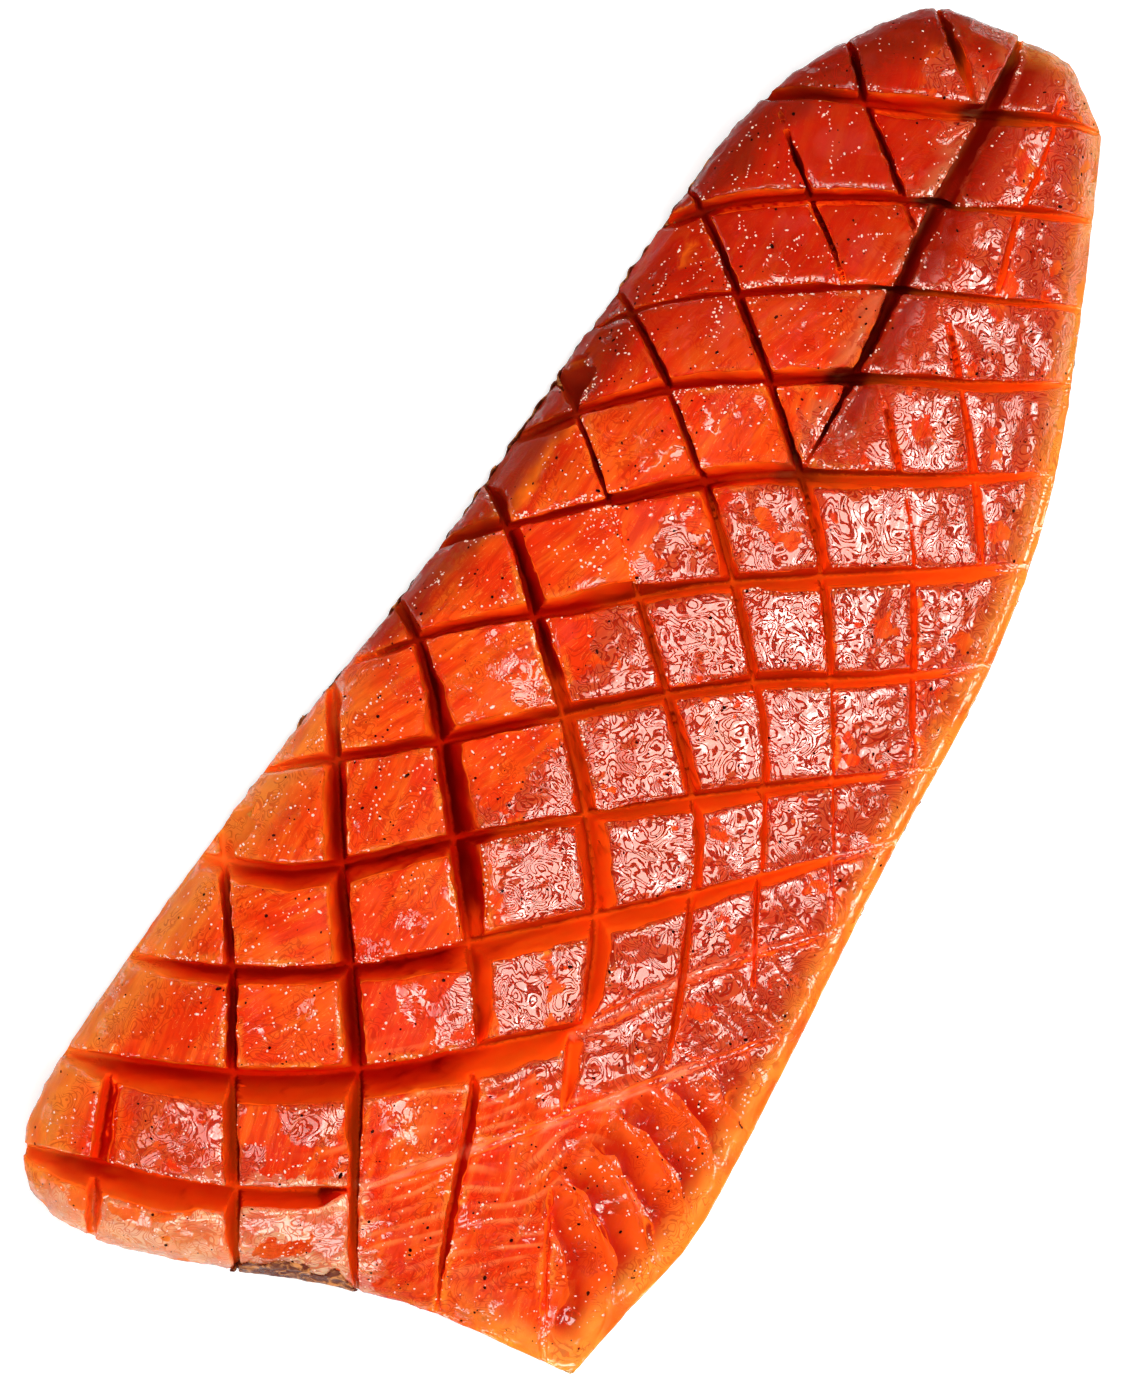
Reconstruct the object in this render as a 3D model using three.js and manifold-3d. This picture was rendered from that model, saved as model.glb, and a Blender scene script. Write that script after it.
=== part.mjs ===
// A dried, smoked side of salmon: one piece of boned flesh on its skin, domed across its width, and
// scored nearly down to the skin with two families of knife cuts, so that blocks of flesh stand on it.
import * as THREE from "three";
import { mergeVertices } from "three/addons/utils/BufferGeometryUtils.js";
import Module from "manifold-3d";

// All sizes are in millimetres. Plan points are [u, v] on the carving board, u to the right and v away.
// The side lies askew on the board, and the finished group is turned so that its length runs along Y.
const BOARD_TURN = THREE.MathUtils.degToRad(30.4);

// The outline on the board, as four edges that meet at four corners.
const LEFT_EDGE = [
  [-151, -143], [-152, -119], [-126, -76], [-79, -11], [-36, 44], [31, 142], [57, 175], [85, 194],
];
const RIGHT_EDGE = [
  [2, -194], [19, -175], [38, -154], [62, -110], [94, -47], [123, 6], [142, 57], [152, 112], [159, 167],
];
const WIDE_END = [[-151, -143], [-134, -154], [-107, -161], [-62, -169], [-35, -177], [2, -194]];
const NARROW_END = [[85, 194], [99, 201], [113, 203], [129, 197], [148, 189], [159, 167]];

// The thickness over the ridge from the wide end to the narrow end, and how the flesh rounds off.
const RIDGE_HEIGHTS = [29, 32, 32, 31, 28, 23];
const RIDGE_PLACE = [0.36, 0.6]; // share of the width from the left edge, at the wide and the narrow end
const BELLY_HEIGHT = 9; // at the right edge, where the flesh thins out
const BELLY_FALL = 1.5; // how late the flesh falls away towards that edge
const EDGE_HEIGHT = 4.5;
const SHOULDER = { left: 36, right: 9, wide: 38, narrow: 26 }; // how far in the top turns level
const UNDERCUT = 0.018; // share of the length and width by which the flat underside is smaller
const BOARD_CLEAR = 5; // flesh and skin that no cut goes through
const STEPS_LONG = 32;
const STEPS_WIDE = 18;

// The knife cuts: the course of the deepest line as it shows from above, and at even stations along it how
// far the mouth reaches to the right and to the left of that course. bite is the depth where a cut doesn't
// go down to the skin.
const ACROSS_CUTS = [
  {
    path: [[46, 176], [72, 172], [100, 169], [129, 167], [161, 167]],
    right: [1, 1.5, 2, 1, 0.6],
    left: [2, 2.5, 3.5, 3, 2],
  },
  {
    path: [[18, 135], [43, 140], [70, 142], [98, 142], [126, 140], [158, 141]],
    right: [1, 1, 0.6, 0.6, 1.5, 1.5],
    left: [2, 2.5, 2.5, 2, 2.5, 1],
  },
  {
    path: [[2, 105], [30, 112], [59, 114], [90, 116], [121, 114], [155, 115]],
    right: [1, 1, 1, 1, 1, 1],
    left: [2, 2, 4, 1.5, 1.5, 0.6],
  },
  {
    path: [[-23, 72], [4, 80], [31, 86], [60, 88], [89, 90], [119, 90], [152, 93]],
    right: [0.6, 0.6, 1, 0.6, 1.5, 3, 1],
    left: [1.5, 2, 4, 3.5, 2, 1, 1],
  },
  {
    path: [[-44, 40], [-14, 47], [16, 54], [47, 61], [79, 62], [112, 63], [147, 67]],
    right: [0.6, 0.6, 1, 2.5, 4, 3, 1],
    left: [3.5, 4, 4, 3, 2, 1, 1],
  },
  {
    path: [[-60, 10], [-28, 18], [5, 23], [37, 30], [71, 33], [105, 36], [142, 40]],
    right: [1, 0.6, 1, 2, 5, 5, 1],
    left: [1, 2.5, 5.5, 2, 3, 1, 1],
  },
  {
    path: [[-90, -22], [-53, -18], [-18, -11], [17, -3], [53, 3], [90, 5], [129, 11]],
    right: [1, 1, 1, 2, 3, 2.5, 1],
    left: [1.5, 4, 4, 2.5, 2.5, 1, 1],
  },
  {
    path: [[-115, -43], [-77, -50], [-41, -43], [-4, -36], [33, -30], [71, -25], [111, -20]],
    right: [3, 6, 5, 3.5, 5, 2, 1],
    left: [1.5, 1.5, 1, 0.6, 1.5, 1.5, 1],
  },
  {
    path: [[-134, -72], [-93, -77], [-55, -76], [-17, -68], [21, -60], [60, -50], [101, -40]],
    right: [2.5, 6, 5, 8, 7, 3.5, 1.5],
    left: [1, 1, 1, 1, 1, 0.6, 1],
  },
  {
    path: [[-148, -100], [-114, -104], [-83, -107], [-53, -105], [-22, -99], [9, -93]],
    right: [2, 8, 9.5, 9, 10, 6.5],
    left: [1, 1, 1.5, 1.5, 1, 1],
  },
  {
    path: [[-159, -126], [-131, -131], [-107, -136], [-82, -139], [-56, -139]],
    right: [5, 9.5, 12.5, 5.5, 6],
    left: [1, 1, 1, 1, 1.5],
  },
  {
    path: [[2, -97], [20, -87], [40, -78], [60, -72], [82, -66]],
    right: [4, 4, 3.5, 3, 2.5],
    left: [1.5, 1, 1, 1, 1], bite: 4,
  },
  {
    path: [[-61, -140], [-36, -132], [-11, -123], [14, -114], [40, -105], [66, -96]],
    right: [1, 2, 2.5, 1.5, 1, 1],
    left: [1.5, 1.5, 1, 1.5, 1.5, 1], bite: 3,
  },
];
const LENGTHWISE_CUTS = [
  {
    path: [[-126, -98], [-129, -117], [-132, -137], [-134, -159]],
    right: [1, 1.5, 1.5, 1],
    left: [3, 4.5, 3.5, 2.5], bite: 12,
  },
  {
    path: [[-101, -23], [-96, -52], [-93, -80], [-93, -108], [-92, -136], [-93, -166]],
    right: [1.5, 2.5, 2.5, 3, 3, 3],
    left: [1, 1.5, 0.6, 1, 1.5, 1.5],
  },
  {
    path: [[-68, 16], [-65, -17], [-63, -48], [-60, -79], [-58, -110], [-59, -141], [-59, -174]],
    right: [2, 3.5, 5, 5, 4.5, 2, 2],
    left: [1.5, 2, 1, 1, 1.5, 1, 1],
  },
  {
    path: [[-53, 37], [-40, 8], [-35, -21], [-31, -49], [-27, -77], [-25, -105]],
    right: [1, 1, 3, 2.5, 1.5, 1.5],
    left: [1, 2, 6.5, 8.5, 6, 4],
  },
  {
    path: [[-25, -99], [-28, -120], [-32, -140], [-35, -161], [-37, -184]],
    right: [0.6, 0.6, 0.6, 0.6, 0.6],
    left: [2.5, 3.5, 3, 1, 1], bite: 12,
  },
  {
    path: [[-28, 73], [-16, 43], [-8, 15], [0, -13], [6, -41], [8, -68], [4, -97]],
    right: [1, 1, 1.5, 1, 2.5, 2, 1.5],
    left: [1.5, 2.5, 4.5, 5, 5, 5.5, 5],
  },
  {
    path: [[4, -88], [1, -98], [0, -108], [-1, -119]],
    right: [1, 1, 1, 0.6],
    left: [4.5, 5, 4, 1], bite: 9,
  },
  {
    path: [[-4, -137], [-5, -155], [-6, -173], [-6, -192]],
    right: [0.6, 1, 1, 1.5],
    left: [1.5, 1, 1.5, 1.5], bite: 5,
  },
  {
    path: [[-7, 105], [7, 68], [18, 33], [28, -1], [36, -35], [34, -71], [29, -106]],
    right: [1, 0.6, 1, 1, 0.6, 1, 1],
    left: [1, 1.5, 1.5, 1.5, 2, 1.5, 2],
  },
  {
    path: [[11, 126], [28, 89], [40, 56], [49, 21], [55, -14], [55, -49], [54, -85]],
    right: [0.6, 1, 1, 1, 0.6, 0.6, 0.6],
    left: [1, 1.5, 1.5, 2, 1.5, 0.6, 1],
  },
  {
    path: [[34, 152], [49, 112], [62, 76], [71, 40], [75, 3], [76, -34], [77, -72]],
    right: [1, 1.5, 1, 1, 0.6, 0.6, 0.6],
    left: [2, 2, 1.5, 2, 1.5, 1.5, 2],
  },
  {
    path: [[61, 169], [66, 150], [74, 133], [80, 116]],
    right: [0.6, 0.6, 0.6, 1],
    left: [1, 1.5, 1, 1.5],
  },
  {
    path: [[81, 199], [84, 175], [92, 154], [100, 133]],
    right: [1, 1, 1, 1.5],
    left: [1, 2, 2, 1.5],
  },
  {
    path: [[108, 208], [110, 192], [114, 180], [118, 169]],
    right: [0.6, 1, 1, 1],
    left: [1.5, 2.5, 3.5, 2.5],
  },
  {
    path: [[89, 91], [95, 63], [99, 34], [100, 4], [101, -25]],
    right: [0.6, 0.6, 0.6, 0.6, 0.6],
    left: [1, 1.5, 2, 1.5, 1], bite: 10,
  },
  {
    path: [[107, 116], [112, 96], [116, 75], [119, 55], [121, 34]],
    right: [0.6, 0.6, 1, 1, 1],
    left: [1, 1, 1.5, 2, 1.5], bite: 8,
  },
  {
    path: [[145, 176], [137, 155], [129, 135], [124, 114]],
    right: [1, 1, 1, 0.6],
    left: [2, 2, 1.5, 1.5], bite: 9,
  },
];
// The seam between the back and the belly muscles, open over the narrow third.
const SEAM = {
  path: [[136, 198], [119, 166], [104, 139], [92, 112], [79, 85], [65, 60]],
  right: [1, 1, 1.5, 1, 0.6, 0.6],
  left: [3, 4.5, 5, 3, 1, 0.6], bite: 13,
};
const KNIFE_EDGE = 0.7; // half the width of a cut's bottom
const RUN_IN = 9; // length over which a cut reaches its depth
const KNIFE_HAND = { over: [-33, -67], reach: 900 }; // the cuts splay away from a point far over the flesh
const CUT_STEP = 13;
const CUT_RISE = 14; // how far the cutting tool reaches above the flesh

// The flakes of the belly muscle, which show as curved steps round one centre near the wide end.
const FLAKES = {
  centre: [-25, -167], first: 39, spacing: 12.5, count: 5, from: -24, to: 42, mouth: 3, bite: 1.6,
};

const FLESH_COLOUR = "#d8401a";

const wasm = await Module();
wasm.setup();

// A smooth curve through plan points.
function curveThrough(points) {
  return new THREE.SplineCurve(points.map(([u, v]) => new THREE.Vector2(u, v)));
}

// A value that changes smoothly through evenly spaced stations, at share x of the way.
function through(stations, x) {
  const place = THREE.MathUtils.clamp(x, 0, 1) * (stations.length - 1);
  const first = Math.min(Math.floor(place), stations.length - 2);
  const blend = THREE.MathUtils.smoothstep(place - first, 0, 1);
  return THREE.MathUtils.lerp(stations[first], stations[first + 1], blend);
}

// A closed solid through rings of points. Each ring runs out along one side and back along the other,
// so that its two halves face each other and close the ends.
function loft(rings) {
  const count = rings[0].length;
  const index = [];
  for (let ring = 0; ring + 1 < rings.length; ring++) {
    for (let i = 0; i < count; i++) {
      const next = (i + 1) % count;
      const [a, b] = [ring * count + i, ring * count + next];
      index.push(a, b, b + count, a, b + count, a + count);
    }
  }
  const last = (rings.length - 1) * count;
  for (let i = 0; i + 1 < count / 2; i++) {
    const [a, b, c, d] = [i, i + 1, count - 2 - i, count - 1 - i];
    index.push(a, c, b, a, d, c);
    index.push(last + a, last + b, last + c, last + a, last + c, last + d);
  }
  const geometry = new THREE.BufferGeometry();
  geometry.setFromPoints(rings.flat());
  geometry.setIndex(index);
  return geometry;
}

// The solid of a geometry, whichever way its faces were wound.
function solid(geometry) {
  const bare = new THREE.BufferGeometry().setAttribute("position", geometry.getAttribute("position"));
  bare.setIndex(geometry.getIndex());
  const merged = mergeVertices(bare, 1e-4);
  const vertProperties = merged.getAttribute("position").array;
  const build = (triVerts) => new wasm.Manifold(new wasm.Mesh({ numProp: 3, vertProperties, triVerts }));
  const made = build(new Uint32Array(merged.getIndex().array));
  return made.volume() > 0 ? made : build(new Uint32Array(merged.getIndex().array).reverse());
}

// The geometry of a solid, shaded flat.
function geometryOf(made) {
  const { vertProperties, triVerts } = made.getMesh();
  const geometry = new THREE.BufferGeometry();
  geometry.setAttribute("position", new THREE.BufferAttribute(new Float32Array(vertProperties), 3));
  geometry.setIndex(new THREE.BufferAttribute(new Uint32Array(triVerts), 1));
  const flat = geometry.toNonIndexed();
  flat.computeVertexNormals();
  return flat;
}

const edges = {
  left: curveThrough(LEFT_EDGE),
  right: curveThrough(RIGHT_EDGE),
  wide: curveThrough(WIDE_END),
  narrow: curveThrough(NARROW_END),
};

// The plan point at share s of the length from the wide end, and share t of the width from the left edge.
function plan(s, t) {
  const [left, right] = [edges.left.getPointAt(s), edges.right.getPointAt(s)];
  const [wide, narrow] = [edges.wide.getPointAt(t), edges.narrow.getPointAt(t)];
  const corner = (end, side) => edges[side].getPointAt(end);
  const mix = (axis) => {
    const sides = THREE.MathUtils.lerp(left[axis], right[axis], t);
    const ends = THREE.MathUtils.lerp(wide[axis], narrow[axis], s);
    const wideCorners = THREE.MathUtils.lerp(corner(0, "left")[axis], corner(0, "right")[axis], t);
    const narrowCorners = THREE.MathUtils.lerp(corner(1, "left")[axis], corner(1, "right")[axis], t);
    return sides + ends - THREE.MathUtils.lerp(wideCorners, narrowCorners, s);
  };
  return new THREE.Vector2(mix("x"), mix("y"));
}

// The shares s and t of a plan point, held at the outline where the point lies past it.
function locate(u, v) {
  const h = 1e-3;
  let [s, t] = [0.5, 0.5];
  for (let round = 0; round < 24; round++) {
    const here = plan(s, t);
    const alongS = plan(Math.min(s + h, 1), t).sub(plan(Math.max(s - h, 0), t));
    const alongT = plan(s, Math.min(t + h, 1)).sub(plan(s, Math.max(t - h, 0)));
    alongS.divideScalar(Math.min(s + h, 1) - Math.max(s - h, 0));
    alongT.divideScalar(Math.min(t + h, 1) - Math.max(t - h, 0));
    const miss = new THREE.Vector2(u, v).sub(here);
    const area = alongS.cross(alongT);
    s = THREE.MathUtils.clamp(s + miss.cross(alongT) / area, 0, 1);
    t = THREE.MathUtils.clamp(t + alongS.cross(miss) / area, 0, 1);
  }
  return [s, t];
}

// A quarter round: 0 at the edge, 1 from the shoulder's radius inwards.
function roundOff(distance, radius) {
  const x = 1 - Math.min(distance / radius, 1);
  return Math.sqrt(Math.max(1 - x * x, 0));
}

// The height of the flesh before it is scored, without its unevenness.
function dome(s, t) {
  const [left, right] = [edges.left.getPointAt(s), edges.right.getPointAt(s)];
  const width = left.distanceTo(right);
  const length = edges.left.getLength();
  const ridge = through(RIDGE_HEIGHTS, s);
  const ridgePlace = THREE.MathUtils.lerp(...RIDGE_PLACE, s);
  const fall = Math.pow(Math.max((t - ridgePlace) / (1 - ridgePlace), 0), BELLY_FALL);
  const level = ridge - (ridge - BELLY_HEIGHT) * fall;
  const rounding = Math.min(
    roundOff(t * width, SHOULDER.left),
    roundOff((1 - t) * width, SHOULDER.right),
    1,
  ) * roundOff(s * length, SHOULDER.wide) * roundOff((1 - s) * length, SHOULDER.narrow);
  return EDGE_HEIGHT + Math.max(level - EDGE_HEIGHT, 0) * rounding;
}

// Soft unevenness of the flesh, in waves of about a block's size.
function unevenness(u, v) {
  return 0.7 * Math.sin(u / 8.3 + v / 21) * Math.cos(v / 9.1 - u / 17) + 0.35 * Math.sin(u / 4.7 - v / 6.1);
}

function surfaceAt(u, v) {
  const [s, t] = locate(u, v);
  return dome(s, t);
}

// Steps from 0 to 1 that are closer together towards both ends.
function crowdedSteps(count) {
  return Array.from({ length: count + 1 }, (_, i) => 0.5 - 0.5 * Math.cos((Math.PI * i) / count));
}

function wholeSide() {
  const inset = (x) => UNDERCUT + x * (1 - 2 * UNDERCUT);
  const rings = crowdedSteps(STEPS_LONG).map((s) => {
    const top = [];
    const underside = [];
    for (const t of crowdedSteps(STEPS_WIDE)) {
      const above = plan(s, t);
      const below = plan(inset(s), inset(t));
      const swell = Math.min(1, (dome(s, t) - EDGE_HEIGHT) / 10);
      top.push(new THREE.Vector3(above.x, above.y, dome(s, t) + swell * unevenness(above.x, above.y)));
      underside.unshift(new THREE.Vector3(below.x, below.y, -BOARD_CLEAR));
    }
    return [...top, ...underside];
  });
  const board = new THREE.BoxGeometry(600, 600, 20).translate(0, 0, -10);
  return solid(loft(rings)).subtract(solid(board));
}

// The wedge that a knife cut takes out, from its mouth on the flesh down to its edge by the skin.
function wedge({ path, left, right, bite = Infinity }) {
  const curve = curveThrough(path);
  const length = curve.getLength();
  const steps = Math.max(3, Math.round(length / CUT_STEP));
  const rings = [];
  for (let i = 0; i <= steps; i++) {
    const x = i / steps;
    const middle = curve.getPointAt(x);
    const along = curve.getTangentAt(x);
    const aside = new THREE.Vector2(-along.y, along.x);
    const height = surfaceAt(middle.x, middle.y);
    const runIn = Math.min(1, (Math.min(x, 1 - x) * length) / RUN_IN);
    const depth = Math.max(Math.min(height - BOARD_CLEAR, bite) * runIn, 0.2);
    const splay = middle.clone().sub(new THREE.Vector2(...KNIFE_HAND.over));
    const bottom = middle.clone().addScaledVector(splay, depth / KNIFE_HAND.reach);
    // Each wall runs straight from the bottom's edge through the lip, and on above the flesh.
    const wall = (side, reach) => {
      const foot = bottom.clone().addScaledVector(aside, side * KNIFE_EDGE);
      const out = Math.max(reach * Math.sqrt(runIn), KNIFE_EDGE);
      const edge = middle.clone().addScaledVector(aside, side * out);
      const rise = 1 + CUT_RISE / depth;
      const beyond = foot.clone().lerp(edge, rise).sub(edge).clampLength(0, CUT_RISE).add(edge);
      return [
        new THREE.Vector3(foot.x, foot.y, height - depth),
        new THREE.Vector3(beyond.x, beyond.y, height + CUT_RISE),
      ];
    };
    rings.push([...wall(-1, through(right, x)), ...wall(1, through(left, x)).reverse()]);
  }
  return solid(loft(rings));
}

function flakeStep(number) {
  const radius = FLAKES.first + number * FLAKES.spacing;
  const path = [];
  for (let x = 0; x <= 1; x += 0.25) {
    const turn = THREE.MathUtils.degToRad(THREE.MathUtils.lerp(FLAKES.from, FLAKES.to, x));
    const angle = turn * (FLAKES.first / radius + 0.4);
    path.push([FLAKES.centre[0] + radius * Math.cos(angle), FLAKES.centre[1] + radius * Math.sin(angle)]);
  }
  const reach = [0.5, FLAKES.mouth / 2, 0.5];
  return wedge({ path, left: reach, right: reach, bite: FLAKES.bite });
}

function scoredSide() {
  const cuts = [...ACROSS_CUTS, ...LENGTHWISE_CUTS, SEAM].map(wedge);
  for (let number = 0; number < FLAKES.count; number++) cuts.push(flakeStep(number));
  const scored = wholeSide().subtract(wasm.Manifold.union(cuts));
  const pieces = scored.decompose().sort((a, b) => b.volume() - a.volume());
  return pieces[0];
}

const side = new THREE.Mesh(
  geometryOf(scoredSide()),
  new THREE.MeshStandardMaterial({ color: FLESH_COLOUR, roughness: 0.3, metalness: 0 }),
);
side.name = "fillet";

// The turn that lays the length along Y, and the origin in the middle of the underside's box.
const turned = new THREE.Group();
turned.rotation.z = BOARD_TURN;
turned.add(side);
turned.updateMatrixWorld(true);
const box = new THREE.Box3().setFromObject(turned, true);
turned.position.set(-(box.min.x + box.max.x) / 2, -(box.min.y + box.max.y) / 2, -box.min.z);

const part = new THREE.Group();
part.add(turned);
export default part;
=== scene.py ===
import math

import bmesh
import bpy
import numpy as np
from mathutils import Matrix, Vector
from mathutils.bvhtree import BVHTree


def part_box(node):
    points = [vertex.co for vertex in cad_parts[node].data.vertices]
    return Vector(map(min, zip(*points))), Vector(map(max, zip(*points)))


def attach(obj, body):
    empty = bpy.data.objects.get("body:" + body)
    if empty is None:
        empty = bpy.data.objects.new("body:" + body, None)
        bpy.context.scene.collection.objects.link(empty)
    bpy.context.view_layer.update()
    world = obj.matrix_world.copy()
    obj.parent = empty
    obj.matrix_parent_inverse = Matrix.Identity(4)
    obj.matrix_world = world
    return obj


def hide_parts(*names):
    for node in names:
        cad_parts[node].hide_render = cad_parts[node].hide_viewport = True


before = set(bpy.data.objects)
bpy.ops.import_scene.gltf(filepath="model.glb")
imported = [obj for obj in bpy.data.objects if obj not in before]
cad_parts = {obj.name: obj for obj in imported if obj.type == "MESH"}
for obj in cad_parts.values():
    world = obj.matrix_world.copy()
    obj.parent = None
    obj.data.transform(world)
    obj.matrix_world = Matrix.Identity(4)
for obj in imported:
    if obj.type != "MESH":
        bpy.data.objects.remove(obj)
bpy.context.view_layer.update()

# The flesh
# One boned side of salmon, salted, dried and smoked until its face has a firm, glossy film. A knife has
# scored it nearly down to the skin, and the blocks have shrunk, tilted and wrinkled as they dried.
MM = 0.001

# Plan points [u, v] are those of a board that the side lies askew on, u to the right and v away.
BOARD_TURN = math.radians(30.4)
BOARD_MIDDLE = Vector((-19.5, -18.7, 0)) * MM


def on_board(u, v, height=0.0):
    """The place in the part's frame of a board point given in millimetres."""
    return Matrix.Rotation(BOARD_TURN, 3, "Z") @ Vector((u, v, height)) * MM + BOARD_MIDDLE


def board_plan(places):
    """The board's u and v, in millimetres, of an array of places in metres."""
    x = places[:, 0] - BOARD_MIDDLE.x
    y = places[:, 1] - BOARD_MIDDLE.y
    turn_cos, turn_sin = math.cos(BOARD_TURN), math.sin(BOARD_TURN)
    return (x * turn_cos + y * turn_sin) / MM, (y * turn_cos - x * turn_sin) / MM


def left_side(u, v):
    """1 on the left of the side's long middle line, 0 on its right and smooth between."""
    return step(20, -10, u - 0.6 * v)


def new_piece(name, mesh):
    piece = bpy.data.objects.new(name, mesh)
    bpy.context.scene.collection.objects.link(piece)
    return piece


def made_mesh(shape, name):
    """The finished shape as a mesh."""
    mesh = bpy.data.meshes.new(name)
    shape.to_mesh(mesh)
    shape.free()
    return mesh


def settle(piece):
    """Makes what the piece's modifiers show its own mesh."""
    depsgraph = bpy.context.evaluated_depsgraph_get()
    shown = bpy.data.meshes.new_from_object(piece.evaluated_get(depsgraph))
    piece.modifiers.clear()
    piece.data = shown


def thin_out(piece, share):
    """Leaves the piece about that share of its triangles."""
    thinner = piece.modifiers.new("thin_out", "DECIMATE")
    thinner.ratio = share
    thinner.use_collapse_triangulate = True
    settle(piece)


def shade_smooth(mesh):
    for polygon in mesh.polygons:
        polygon.use_smooth = True


def places_of(mesh):
    flat = np.empty(len(mesh.vertices) * 3, np.float32)
    mesh.vertices.foreach_get("co", flat)
    return flat.reshape(-1, 3).astype(float)


def normals_of(mesh):
    flat = np.empty(len(mesh.vertices) * 3, np.float32)
    mesh.vertex_normals.foreach_get("vector", flat)
    return flat.reshape(-1, 3).astype(float)


def set_places(mesh, places):
    mesh.vertices.foreach_set("co", places.astype(np.float32).ravel())
    mesh.update()


def step(low, high, values):
    """0 below low, 1 above high and smooth between."""
    share = np.clip((values - low) / (high - low), 0, 1)
    return share * share * (3 - 2 * share)


def ripples(places, length, seed, waves=22, spread=0.5):
    """Soft waves of about one length in all directions, between about -1 and 1."""
    draw = np.random.default_rng(seed)
    total = np.zeros(len(places))
    for _ in range(waves):
        heading = draw.normal(size=3)
        heading /= np.linalg.norm(heading)
        reach = length * draw.uniform(1 - spread, 1 + spread)
        total += np.sin(places @ heading * (2 * math.pi / reach) + draw.uniform(0, 2 * math.pi))
    return total / math.sqrt(waves)


WELD_WITHIN = 0.02 * MM
MESH_CELL = 0.6 * MM

shape = bmesh.new()
shape.from_mesh(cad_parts["fillet"].data)
bmesh.ops.remove_doubles(shape, verts=shape.verts, dist=WELD_WITHIN)
flesh = new_piece("flesh", made_mesh(shape, "flesh"))

even_out = flesh.modifiers.new("even_out", "REMESH")
even_out.mode = "VOXEL"
even_out.voxel_size = MESH_CELL
soften = flesh.modifiers.new("soften", "SMOOTH")
soften.factor = 0.5
soften.iterations = 1
settle(flesh)

# A map of the side in cells, from above: how high the flesh would stand unscored, how far a place lies
# from the outline, and which block it is on.
CELL = 1.0 * MM
MAP_MARGIN = 12
side_low, side_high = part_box("fillet")
map_corner = np.array([side_low.x, side_low.y]) - MAP_MARGIN * CELL
map_size = np.ceil((np.array([side_high.x, side_high.y]) - map_corner) / CELL).astype(int) + MAP_MARGIN


def spread_high(heights, reach):
    """Each cell takes the highest value within a square of that reach."""
    for axis in (0, 1):
        widest = heights.copy()
        for shift in range(1, reach + 1):
            widest = np.maximum(widest, np.roll(heights, shift, axis))
            widest = np.maximum(widest, np.roll(heights, -shift, axis))
        heights = widest
    return heights


def blurred(heights, reach, rounds=3):
    for _ in range(rounds):
        for axis in (0, 1):
            shifted = [np.roll(heights, shift, axis) for shift in range(-reach, reach + 1)]
            heights = sum(shifted) / len(shifted)
    return heights


def cells_at(places):
    spot = (places[:, :2] - map_corner) / CELL
    return np.clip(spot.astype(int), 0, map_size - 1).T


def read_map(values, places):
    """The map's value at each place, smooth between the cells' middles."""
    spot = np.clip((places[:, :2] - map_corner) / CELL - 0.5, 0, map_size - 1.001)
    corner = spot.astype(int)
    share = spot - corner
    i, j = corner.T
    a, b = share.T
    near = values[i, j] * (1 - b) + values[i, j + 1] * b
    far = values[i + 1, j] * (1 - b) + values[i + 1, j + 1] * b
    return near * (1 - a) + far * a


def rings_in(standing, rings, square_rings=()):
    """How far in metres each cell lies inside those that stand, taken off ring by ring."""
    inside = np.zeros(map_size)
    kept = standing.astype(float)
    for ring in range(rings):
        inside += kept
        if ring in square_rings:
            kept = -spread_high(-kept, 1)
        else:
            beside = [np.roll(kept, shift, axis) for shift in (1, -1) for axis in (0, 1)]
            kept = np.minimum.reduce([kept, *beside])
    return blurred(inside * CELL, 1, 1)


def number_blocks(standing):
    """Numbers the patches of cells that stand at full height, each apart from the next."""
    numbers = np.zeros(standing.shape, int)
    count = 0
    for start in zip(*np.nonzero(standing)):
        if numbers[start]:
            continue
        count += 1
        numbers[start] = count
        waiting = [start]
        while waiting:
            i, j = waiting.pop()
            for cell in ((i + 1, j), (i - 1, j), (i, j + 1), (i, j - 1)):
                if standing[cell] and not numbers[cell]:
                    numbers[cell] = count
                    waiting.append(cell)
    return numbers, count


WIDEST_CUT = 9
THINNEST = 1.0 * MM
BLOCK_STANDS = 1.3 * MM
LOWEST_BLOCK = 5 * MM
OUTLINE_RINGS = 40
LIP_RINGS = 6

places = places_of(flesh.data)
seen_height = np.zeros(map_size)
np.maximum.at(seen_height, tuple(cells_at(places)), places[:, 2])
closed = -spread_high(-spread_high(seen_height, WIDEST_CUT), WIDEST_CUT)
footprint = closed > THINNEST
cover = blurred(footprint.astype(float), 2)
crown = blurred(np.where(footprint, closed, 0), 2)
crown = np.where(footprint, crown / np.maximum(cover, 0.05), 0)
inland = rings_in(footprint, OUTLINE_RINGS, range(1, OUTLINE_RINGS, 3))


def from_outline(places):
    """How far in from the outline each place lies, in millimetres."""
    return read_map(inland, places) / MM


standing = (seen_height > closed - BLOCK_STANDS) & (closed > LOWEST_BLOCK)
block_numbers, block_count = number_blocks(standing)
on_block = block_numbers > 0
lipward = rings_in(on_block, LIP_RINGS)

# Each block has dried into a tilt and a height of its own, and leans a little to one side.
BLOCK_SINK = 2.0 * MM
BLOCK_TILT = math.tan(math.radians(5.4))
BLOCK_LEAN = 0.7 * MM
CUT_CELLS = 4


def past_lips(values):
    """The values of the blocks' cells, carried on into the cuts beside them."""
    values = np.where(on_block, values, 0)
    filled = on_block.astype(float)
    for _ in range(CUT_CELLS):
        cover = blurred(filled, 1, 1)
        carried = blurred(values * filled, 1, 1) / np.maximum(cover, 1e-6)
        values = np.where(filled > 0, values, carried)
        filled = (cover > 0.01).astype(float)
    return values


draw = np.random.default_rng(11)
sinks = draw.uniform(-BLOCK_SINK, 0, block_count + 1)
tilts = draw.normal(0, BLOCK_TILT / 2, (block_count + 1, 2))
tones = draw.uniform(0, 1, block_count + 1)
leans = draw.normal(0, BLOCK_LEAN, (block_count + 1, 2))

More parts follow.
